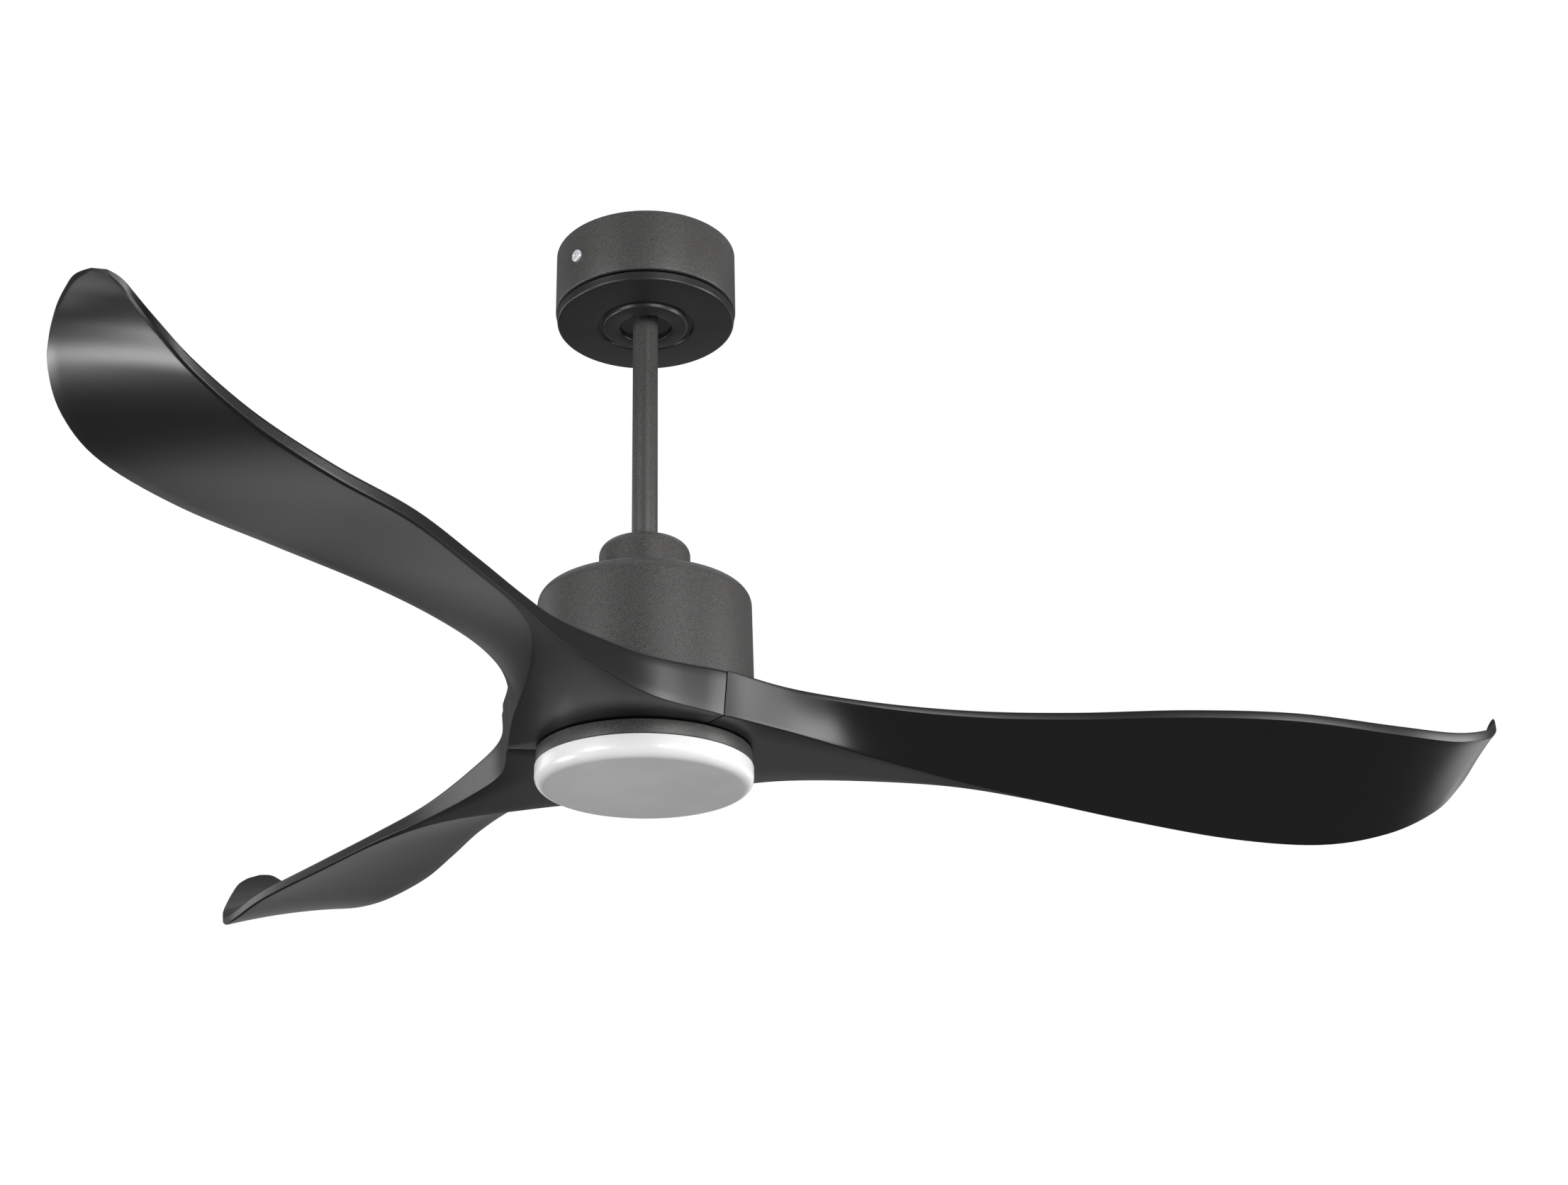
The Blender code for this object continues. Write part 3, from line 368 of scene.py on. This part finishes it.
def make_canopy_trim():
    """The lower cover: a rolled edge, a flat disc, a groove and a raised lip round the rod's hole."""
    top = -CANOPY_SHELL_H - 0.0022
    spigot = top + 0.0100  # high enough that nothing shows over it through the groove
    disc = -CANOPY_H
    boss = -CANOPY_BOSS_H
    r = CANOPY_R - 0.0008
    groove_z, lip_r = disc + 0.0012, 0.0350
    groove = [(0.0420, disc), (0.0391, disc), (0.0386, groove_z), (lip_r, groove_z)]
    lip = [(lip_r, groove_z), (0.0342, boss + 0.0010), (0.0332, boss), (0.0280, boss)]
    spigot_out, spigot_in = r - 0.0045, r - 0.0062
    outline = [
        (r - 0.0004, top),
        (r, top - 0.0006),
        *arc(r - 0.0028, disc + 0.0022, 0.0022, 0, -90, 8),
        *softened(groove, 0.0005, closed=False),
        *softened(lip, 0.0006, closed=False)[1:],
        *arc(CANOPY_HOLE_R + 0.0012, boss + 0.0012, 0.0012, -90, -180, 4),
        (CANOPY_HOLE_R, disc + 0.0030),
        (r - 0.0090, disc + 0.0030),
        (spigot_in, top - 0.0006),
        (spigot_in, spigot),
        (spigot_out, spigot),
        (spigot_out, top),
    ]
    mesh = turned_mesh("canopy_trim_fine", outline)
    new_piece("canopy_trim_fine", mesh, "trim_paint", "ceiling_mount", "canopy_trim")


def screw_mesh(head_r, head_h, shank_r, length):
    """A pan-head screw with a round socket. The head's underside is at z = 0, the shank above it."""
    outline = [
        (0, length),
        (shank_r * 0.6, length),
        (shank_r, length - shank_r * 0.6),
        (shank_r, 0),
        (head_r, 0),
        *arc(head_r - head_h * 0.55, -head_h * 0.45, head_h * 0.55, 0, -90, 6),
        (head_r * 0.46, -head_h),
        (head_r * 0.42, -head_h * 0.85),
        (head_r * 0.40, -head_h * 0.30),
        (0, -head_h * 0.25),
    ]
    return turned_mesh("screw", outline, 48)


def make_canopy_screws():
    for i, turn in enumerate(SIDE_SCREW_TURNS, 1):
        out = polar(1, turn)
        mesh = screw_mesh(0.0050, 0.0024, 0.0019, 0.0100)
        turned_in = Vector((0, 0, 1)).rotation_difference(-out).to_matrix().to_4x4()
        place = out * (CANOPY_R + GAP) + Vector((0, 0, SIDE_SCREW_Z))
        mesh.transform(Matrix.Translation(place) @ turned_in)
        new_piece(f"canopy_screw_{i}_fine", mesh, "bright_steel", "ceiling_mount", f"canopy_screw_{i}")


# ---- hanging, not turning -----------------------------------------------------------------------
def make_downrod():
    foot = HUB_Z + HOUSING_TOP + 0.0078
    corners = [(ROD_R, ROD_TOP_Z), (ROD_R, foot), (ROD_BORE_R, foot), (ROD_BORE_R, ROD_TOP_Z)]
    hole_r, reach = 0.0033, 0.02
    low = HUB_Z + HOUSING_TOP + 0.0205
    ball_pin_hole = cylinder_mesh(hole_r, (0, -reach, BALL_Z), (0, reach, BALL_Z))
    yoke_pin_hole = cylinder_mesh(hole_r, (-reach, 0, low), (reach, 0, low))
    rod = turned_mesh("downrod_fine", softened(corners, 0.0004), 96)
    mesh = cut_by(rod, [ball_pin_hole, yoke_pin_hole])
    new_piece("downrod_fine", mesh, "textured_paint", "hanging_motor", "downrod")


def make_coupling_cover():
    top = HUB_Z + COVER_TOP
    foot = HUB_Z + HOUSING_TOP + GAP
    wall, corner, bore = 0.0015, 0.0100, ROD_R + 0.0005
    outline = [
        (bore + 0.0006, top),
        *arc(COVER_R - corner, top - corner, corner, 90, 0, 14),
        (COVER_R, foot + 0.0006),
        (COVER_R - 0.0005, foot),
        (COVER_R - wall, foot),
        *arc(COVER_R - corner, top - corner, corner - wall, 0, 90, 8),
        (bore, top - wall),
        (bore, top - 0.0006),
    ]
    mesh = turned_mesh("coupling_cover_fine", outline)
    new_piece("coupling_cover_fine", mesh, "textured_paint", "hanging_motor", "coupling_cover")


def make_housing():
    top = HUB_Z + HOUSING_TOP
    foot = HUB_Z + HOUSING_FOOT
    wall, corner, bore = 0.0016, 0.0108, 0.0100
    screws, screw_circle, screw_hole_r = 3, 0.0195, 0.0021
    outline = [
        *arc(HOUSING_TOP_R - corner, top - corner, corner, 90, 0, 16),
        (HOUSING_FOOT_R, foot + 0.0008),
        (HOUSING_FOOT_R - 0.0005, foot),
        (HOUSING_FOOT_R - wall, foot),
        *arc(HOUSING_TOP_R - corner, top - corner, corner - wall, 0, 90, 8),
        (bore, top - wall),
        (bore, top),
    ]
    mesh = turned_mesh("motor_housing_fine", outline, 160)
    holes = []
    reach = Vector((0, 0, 0.01))
    for i in range(screws):
        place = polar(screw_circle, math.radians(90 + 360 / screws * i), top)
        holes.append(cylinder_mesh(screw_hole_r, place - reach, place + reach, 24))
    new_piece("motor_housing_fine", cut_by(mesh, holes), "textured_paint", "hanging_motor", "motor_housing")


def box_mesh(low, high, turn):
    low, high = Vector(low), Vector(high)
    bm = bmesh.new()
    middle = Matrix.Translation((low + high) / 2)
    bmesh.ops.create_cube(bm, size=1, matrix=middle @ Matrix.Diagonal((*(high - low), 1)))
    bm.transform(Matrix.Rotation(turn, 4, "Z"))
    return mesh_from(bm, "box")


def make_light_ring():
    """The metal ring: a band with a groove for the lugs inside it, and a flat pan on the shaft."""
    top, foot = HUB_Z + RING_TOP, HUB_Z + RING_FOOT
    band = [(RING_IN_R, top), (RING_R, top), (RING_R, foot), (RING_IN_R, foot)]
    outline = [
        *softened(band, 0.0005, closed=False),
        (RING_IN_R, HUB_Z + GROOVE_FOOT),
        (GROOVE_R, HUB_Z + GROOVE_FOOT),
        (GROOVE_R, HUB_Z + GROOVE_TOP),
        (RING_IN_R, HUB_Z + GROOVE_TOP),
        (RING_IN_R, HUB_Z + PAN_FOOT),
        (SHAFT_R + GAP, HUB_Z + PAN_FOOT),
        (SHAFT_R + GAP, HUB_Z + PAN_TOP),
        (RING_IN_R, HUB_Z + PAN_TOP),
    ]
    slots = [
        box_mesh(
            (RING_IN_R - 0.0030, -SLOT_WIDTH / 2, foot - 0.0020),
            (GROOVE_R - 0.0003, SLOT_WIDTH / 2, HUB_Z + GROOVE_FOOT + 0.0010),
            math.tau * i / LUGS + LUG_TWIST,
        )
        for i in range(LUGS)
    ]
    mesh = cut_by(turned_mesh("light_ring_fine", outline, 160), slots)
    new_piece("light_ring_fine", mesh, "textured_paint", "hanging_motor", "light_ring")


def make_diffuser():
    """The opal cover: a rounded dish, its neck up in the ring and three bayonet lugs."""
    rim = HUB_Z + RING_FOOT - GAP
    neck_top = HUB_Z - 0.0060
    neck_r = RING_IN_R - 0.0006
    neck_in = neck_r - 0.0020
    foot = HUB_Z + DIFFUSER_FOOT
    corner, wall = 0.0085, 0.0020
    r = DIFFUSER_R
    outline = [
        (0, foot + wall),
        *arc(r - corner, foot + corner, corner - wall, -90, 0, 8),
        (r - wall, rim - 0.0030),
        (neck_in, rim - 0.0018),
        (neck_in, neck_top),
        (neck_r, neck_top),
        (neck_r, rim - 0.0002),
        (r - 0.0010, rim - 0.0002),
        *arc(r - 0.0010, rim - 0.0012, 0.0010, 90, 0, 4)[1:],
        *arc(r - corner, foot + corner, corner, 0, -90, 20),
        (0, foot),
    ]
    lugs = [
        box_mesh(
            (neck_r - 0.0010, -LUG_WIDTH / 2, HUB_Z + GROOVE_FOOT + 0.0004),
            (GROOVE_R - 0.0005, LUG_WIDTH / 2, HUB_Z + GROOVE_TOP - 0.0004),
            math.tau * i / LUGS,
        )
        for i in range(LUGS)
    ]
    mesh = cut_by(turned_mesh("light_diffuser_fine", outline, 160), lugs, "UNION")
    new_piece("light_diffuser_fine", mesh, "opal_plastic", "diffuser", "light_diffuser")


# ---- the blades ---------------------------------------------------------------------------------
def spline_points(points, steps):
    """Catmull-Rom points through the given ones."""
    knots = [Vector(p) for p in points]
    knots = [2 * knots[0] - knots[1], *knots, 2 * knots[-1] - knots[-2]]
    smooth = []
    for a, b, c, d in zip(knots, knots[1:], knots[2:], knots[3:]):
        square = 2 * a - 5 * b + 4 * c - d
        cube = 3 * b - a - 3 * c + d
        for i in range(steps):
            t = i / steps
            smooth.append(0.5 * (2 * b + (c - a) * t + square * t**2 + cube * t**3))
    return [*smooth, knots[-2]]


def bowed(a, b, rise, steps):
    """Points from a towards b, bowed upwards by the rise at the middle."""
    parts = [i / steps for i in range(steps)]
    return [a.lerp(b, t) + Vector((0, 0, 4 * rise * t * (1 - t))) for t in parts]


def blade_section(row, rim, camber):
    """Points round one blade section, its corners rounded."""
    lead_top, lead_crease, trail_crease, trail_top = (Vector(p) for p in row)
    lead_foot = lead_top - Vector((0, 0, rim))
    sides = (
        # start, end, bow, steps and rounding at the start: underside, flat, wall, top and rim
        (lead_foot, lead_crease, camber, 12, 0.0006),
        (lead_crease, trail_crease, 0, 4, 0.0012),
        (trail_crease, trail_top, 0, 4, 0.0008),
        (trail_top, lead_top, 1.375 * camber, 12, 0.0022),
        (lead_top, lead_foot, 0, 2, 0.0011),
    )
    ring, roundings = [], {}
    for start, end, bow, steps, rounding in sides:
        roundings[len(ring)] = rounding
        ring += bowed(start, end, bow, steps)
    out = []
    for i, p in enumerate(ring):
        if i not in roundings:
            out.append(p)
            continue
        before, after = ring[i - 1] - p, ring[(i + 1) % len(ring)] - p
        start = p + before.normalized() * min(roundings[i], CORNER_SHARE * before.length)
        end = p + after.normalized() * min(roundings[i], CORNER_SHARE * after.length)
        out += corner_curve(start, p, end)
    return out


def blade_mesh(steps=7):
    """A loft between the sections. The two innermost rows run beside the seams between the blades."""
    rails = [spline_points([row[k] for row in STATIONS[1:]], steps) for k in range(4)]
    rims = spline_points([(h, 0, 0) for h in RIM_HEIGHTS[1:]], steps)
    cambers = spline_points([(c, 0, 0) for c in CAMBERS[1:]], steps)
    rows = [blade_section(STATIONS[0], RIM_HEIGHTS[0], 0)]
    rows += [blade_section(row, rim.x, camber.x) for row, rim, camber in zip(zip(*rails), rims, cambers)]
    # the last rows draw in to a rounded end
    for k in range(1, steps + 1):
        row = rows[k - 1 - steps]
        middle = sum(row, Vector()) / len(row)
        rows[k - 1 - steps] = [middle.lerp(p, 1 - TIP_DRAW * (k / steps) ** 3) for p in row]
    bm = bmesh.new()
    rings = []
    for index, row in enumerate(rows):
        shift = SEAM_SHIFT if index < 2 else 0
        rings.append([bm.verts.new((p.x, p.y - math.copysign(shift, p.y), p.z + HUB_Z)) for p in row])
    for a, b in zip(rings, rings[1:]):
        for i in range(len(a)):
            j = (i + 1) % len(a)
            bm.faces.new((a[i], a[j], b[j], b[i]))
    bm.faces.new(rings[0])
    bm.faces.new(list(reversed(rings[-1])))
    return mesh_from(bm, "blade")


def make_blades():
    """Three copies of one blade, with the hub's pocket and the screw holes cut in its root."""
    floor = HUB_Z + ROOT_FLOOR
    above, below = floor + 0.05, HUB_Z - 0.01
    pocket = [
        (0, above),
        (ROOT_POCKET_R, above),
        (ROOT_POCKET_R, floor),
        (ROOT_HOLE_R, floor),
        (ROOT_HOLE_R, below),
        (0, below),
    ]
    hole_r, hole_z, bed_r, bed_z = 0.0023, 0.0090, 0.0048, 0.0030
    bed = [(0, hole_z), (hole_r, hole_z), (hole_r, bed_z), (bed_r, bed_z), (bed_r, -bed_z), (0, -bed_z)]
    cutters = [turned_mesh("pocket", pocket, 96)]
    for sign in (-1, 1):
        mesh = turned_mesh("bed", bed, 32)
        mesh.transform(Matrix.Translation(polar(BLADE_SCREW_R, sign * BLADE_SCREW_TURN, HUB_Z)))
        cutters.append(mesh)
    base = cut_by(blade_mesh(), cutters)
    for i in range(BLADES):
        mesh = base.copy()
        mesh.transform(Matrix.Rotation(BLADE_TURN + math.tau * i / BLADES, 4, "Z"))
        new_piece(f"blade_{i + 1}_fine", mesh, "blade_plastic", "rotor", f"blade_{i + 1}", angle=38)


# ---- surroundings -------------------------------------------------------------------------------
def camera_mix(tree, others, shown):
    """One shader for the camera's own rays and another for light that falls on the fan."""
    path = tree.nodes.new("ShaderNodeLightPath")
    mix = tree.nodes.new("ShaderNodeMixShader")
    tree.links.new(path.outputs["Is Camera Ray"], mix.inputs["Fac"])
    tree.links.new(others, mix.inputs[1])
    tree.links.new(shown, mix.inputs[2])
    return mix.outputs["Shader"]


def make_floor():
    """A plain pale floor, which the fan's glossy undersides see darker than the camera does."""
    bm = bmesh.new()
    place = Matrix.Translation((0, 0, FLOOR_Z))
    bmesh.ops.create_grid(bm, x_segments=1, y_segments=1, size=FLOOR_REACH, matrix=place)
    floor = bpy.data.objects.new("floor", mesh_from(bm, "floor"))
    scene.collection.objects.link(floor)
    material, tree, shader = nodes_of("floor_paint")
    shader.inputs["Roughness"].default_value = 0.8
    tone = ramp(tree, noise(tree, 3.0), [(0.3, (0.84, 0.84, 0.84)), (0.7, (0.88, 0.88, 0.88))])
    tree.links.new(tone, shader.inputs["Base Color"])
    shader.inputs["Emission Color"].default_value = (1, 1, 1, 1)
    shader.inputs["Emission Strength"].default_value = 0.85
    dim = tree.nodes.new("ShaderNodeBsdfDiffuse")
    dim.inputs["Color"].default_value = (0.50, 0.50, 0.50, 1)
    both = camera_mix(tree, dim.outputs["BSDF"], shader.outputs["BSDF"])
    tree.links.new(both, tree.nodes["Material Output"].inputs["Surface"])
    floor.data.materials.append(material)


def area_light(name, place, aim, size, strength):
    """A softbox facing the aim point. Its strength is its radiance."""
    light = bpy.data.lights.new(name, "AREA")
    light.shape = "RECTANGLE"
    light.size, light.size_y = size
    light.energy = strength * math.pi * size[0] * size[1]
    obj = bpy.data.objects.new(name, light)
    obj.location = place
    obj.rotation_euler = (Vector(aim) - Vector(place)).to_track_quat("-Z", "Y").to_euler()
    obj.visible_camera = False
    scene.collection.objects.link(obj)


def make_lights():
    """Soft studio light, and a pale surround that shows white to the camera and lights the fan dimly."""
    aim = (0, 0, HUB_Z)
    area_light("softbox_front_right", (1.5, -2.4, -0.38), aim, (1.5, 1.3), 8.0)
    area_light("softbox_front_left", (-2.1, -2.0, -0.38), aim, (1.3, 1.3), 7.5)
    area_light("softbox_right", (2.1, -0.3, -0.60), aim, (0.8, 1.5), 9.0)
    area_light("softbox_left", (-1.60, -0.10, -1.00), (-0.28, -0.60, -0.40), (0.5, 0.60), 13.0)
    area_light("panel_behind", (0.4, 2.4, -0.35), aim, (4.2, 0.9), 0.5)
    area_light("panel_behind_right", (1.9, 1.7, -0.75), aim, (1.0, 0.7), 1.2)
    area_light("panel_behind_low", (0.1, 2.3, -1.25), aim, (1.0, 0.5), 0.32)
    area_light("panel_left_high", (-2.1, 1.1, 0.05), aim, (1.1, 1.1), 1.9)
    area_light("softbox_above", (0, 0, 2.2), (0, 0, FLOOR_Z), (5, 5), 0.7)
    world = bpy.data.worlds.new("studio")
    scene.world = world
    world.use_nodes = True
    tree = world.node_tree
    shown = tree.nodes.new("ShaderNodeBackground")
    shown.inputs["Color"].default_value = (1, 1, 1, 1)
    shown.inputs["Strength"].default_value = 1.0
    lit = tree.nodes["Background"]
    lit.inputs["Color"].default_value = (1, 1, 1, 1)
    lit.inputs["Strength"].default_value = 0.10
    both = camera_mix(tree, lit.outputs["Background"], shown.outputs["Background"])
    tree.links.new(both, tree.nodes["World Output"].inputs["Surface"])
    scene.view_settings.view_transform = "Standard"


def make_camera():
    """Below the fan and in front of it, looking up."""
    place = Matrix.Translation((0.0709, -1.4478, HUB_Z - 0.4836))
    yaw, pitch, roll = 0.0772, 0.3999, 0.0145
    away = Vector((-math.sin(yaw), math.cos(yaw), 0))
    right = Vector((math.cos(yaw), math.sin(yaw), 0))
    forward = away * math.cos(pitch) + Vector((0, 0, math.sin(pitch)))
    up = -away * math.sin(pitch) + Vector((0, 0, math.cos(pitch)))
    image_right = right * math.cos(roll) + up * math.sin(roll)
    image_up = -right * math.sin(roll) + up * math.cos(roll)
    data = bpy.data.cameras.new("camera")
    data.lens = 47.06
    data.sensor_width = 36
    data.shift_x = 0.123
    data.clip_start = 0.01
    camera = bpy.data.objects.new("camera", data)
    turn = Matrix((image_right, image_up, -forward)).transposed().to_4x4()
    camera.matrix_world = place @ turn
    scene.collection.objects.link(camera)
    scene.camera = camera


make_canopy()
make_canopy_trim()
make_canopy_screws()
make_downrod()
make_coupling_cover()
make_housing()
make_light_ring()
make_diffuser()
make_blades()

# every CAD node takes its finish, which shows on those that keep their CAD shape
slot_of = {entry["node"]: entry["material_slot"] for entry in frame["record"]["subparts"]}
for node, obj in frame["nodes"].items():
    obj.data.materials.clear()
    obj.data.materials.append(LOOKS[slot_of[node]])

make_floor()
make_lights()
make_camera()
